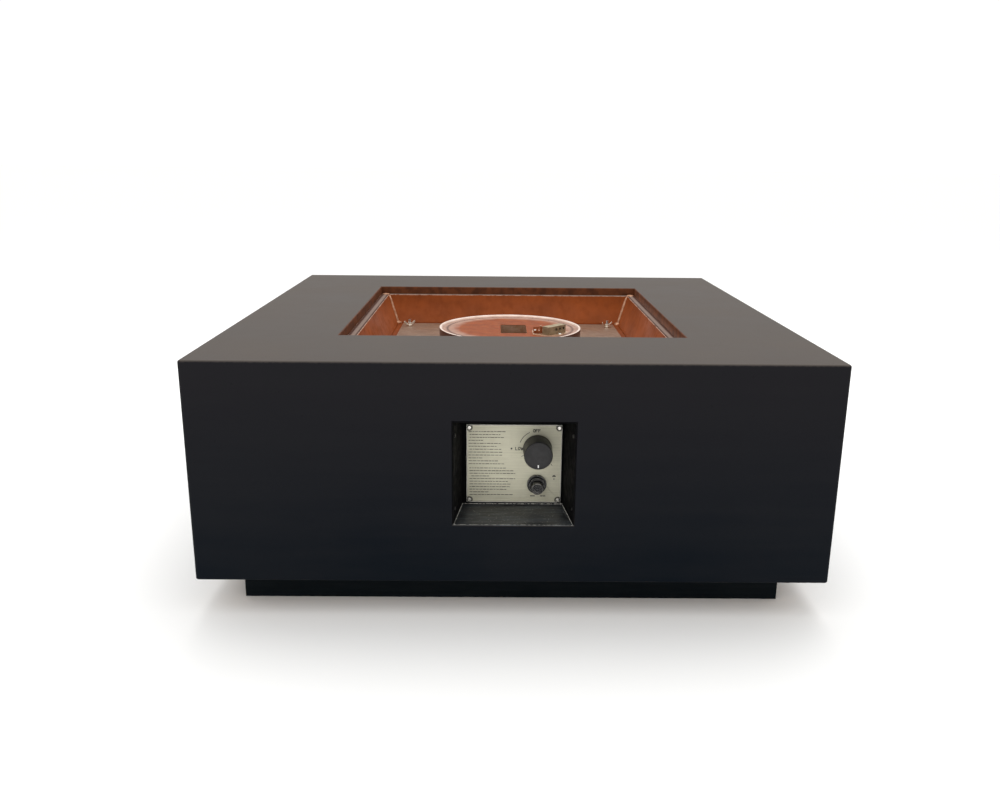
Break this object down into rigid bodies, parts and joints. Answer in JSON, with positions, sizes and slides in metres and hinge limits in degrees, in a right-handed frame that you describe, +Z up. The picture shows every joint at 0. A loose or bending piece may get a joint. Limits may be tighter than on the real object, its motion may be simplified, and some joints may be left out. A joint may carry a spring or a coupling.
{
  "type": "gas fire pit table",
  "caption": "Square low fire pit table with a cast shell on a recessed plinth, a drop-in steel fire bowl, a round burner and a control panel set in a front recess.",
  "frame": {"origin": "centre of the plinth's base, on the ground", "axes": "+Z up; -Y is the front, with the control panel; +X is to the right seen from the front; +Y is the back, with the hose hole"},
  "size_m": [1.067, 1.067, 0.441],
  "materials": {
    "cast_shell": "matte",
    "plinth_board": "satin",
    "base_wood": "matte",
    "zinc_steel": "satin",
    "bright_steel": "polished",
    "bowl_enamel": "satin",
    "deck_steel": "satin",
    "shield_steel": "satin",
    "burner_steel": "satin",
    "heated_steel": "satin",
    "yellow_brass": "satin",
    "copper": "satin",
    "white_ceramic": "gloss",
    "liner_paint": "gloss",
    "panel_steel": "satin",
    "spring_steel": "polished",
    "black_zinc": "satin",
    "knob_plastic": "satin",
    "index_white": "gloss",
    "igniter_plastic": "gloss",
    "battery_case": "gloss",
    "black_rubber": "matte",
    "tube_steel": "satin",
    "lead_sleeve": "matte"
  },
  "bodies": {
    "table": {"body_shell": "cast_shell", "plinth_front": "plinth_board", "plinth_back": "plinth_board", "plinth_left": "plinth_board", "plinth_right": "plinth_board", "base_rail_front": "base_wood", "base_rail_back": "base_wood", "base_rail_left": "base_wood", "base_rail_right": "base_wood", "corner_cleats": "base_wood", "rail_screws": "zinc_steel", "plinth_screws": "zinc_steel", "fire_bowl": "bowl_enamel", "deck_plate": "deck_steel", "deck_studs": "zinc_steel", "wing_nuts": "bright_steel", "heat_shield": "shield_steel", "shield_posts": "zinc_steel", "shield_nuts": "zinc_steel", "burner_top": "burner_steel", "burner_base": "burner_steel", "burner_legs": "zinc_steel", "burner_bolts": "zinc_steel", "burner_nuts": "zinc_steel", "mixer_tube": "burner_steel", "orifice_fitting": "yellow_brass", "ignition_bracket": "burner_steel", "ignition_screws": "bright_steel", "igniter_shield": "heated_steel", "sensor_guard": "heated_steel", "electrode_insulator": "white_ceramic", "electrode_rod": "bright_steel", "thermocouple_probe": "copper", "recess_liner": "liner_paint", "liner_screws": "black_zinc", "control_panel": "panel_steel", "panel_screws": "bright_steel", "valve_body": "yellow_brass", "valve_nut": "zinc_steel", "valve_spring": "spring_steel", "flame_failure_unit": "yellow_brass", "igniter_housing": "igniter_plastic", "igniter_nut": "zinc_steel", "igniter_spring": "spring_steel", "igniter_battery": "battery_case", "gas_inlet_fitting": "yellow_brass", "inlet_locknut": "zinc_steel", "inlet_bracket": "zinc_steel", "bracket_screws": "zinc_steel", "hose_grommet": "black_rubber", "inlet_hose": "black_rubber", "feed_tube": "tube_steel", "ignition_lead": "lead_sleeve", "thermocouple_lead": "copper"},
    "shutter": {"air_shutter": "yellow_brass"},
    "plunger": {"valve_plunger": "yellow_brass"},
    "knob": {"valve_stem": "zinc_steel", "control_knob": "knob_plastic", "knob_index": "index_white"},
    "button": {"igniter_button": "igniter_plastic"}
  },
  "joints": [
    {"name": "knob_push", "type": "slide", "parent": "table", "child": "plunger", "axis": [0, 1, 0], "range_m": [0, 0.003], "stiffness_N_per_m": 500, "deforming": ["valve_spring"]},
    {"name": "knob_turn", "type": "hinge", "parent": "plunger", "child": "knob", "pos_m": [0.042, -0.4427, 0.27], "axis": [0, 1, 0], "range_deg": [0, 180]},
    {"name": "igniter_press", "type": "slide", "parent": "table", "child": "button", "axis": [0, 1, 0], "range_m": [0, 0.005], "stiffness_N_per_m": 400, "deforming": ["igniter_spring"]},
    {"name": "air_shutter_turn", "type": "hinge", "parent": "table", "child": "shutter", "pos_m": [-0.085, 0, 0.297], "axis": [0, 0, 1], "range_deg": [0, 70]}
  ]
}
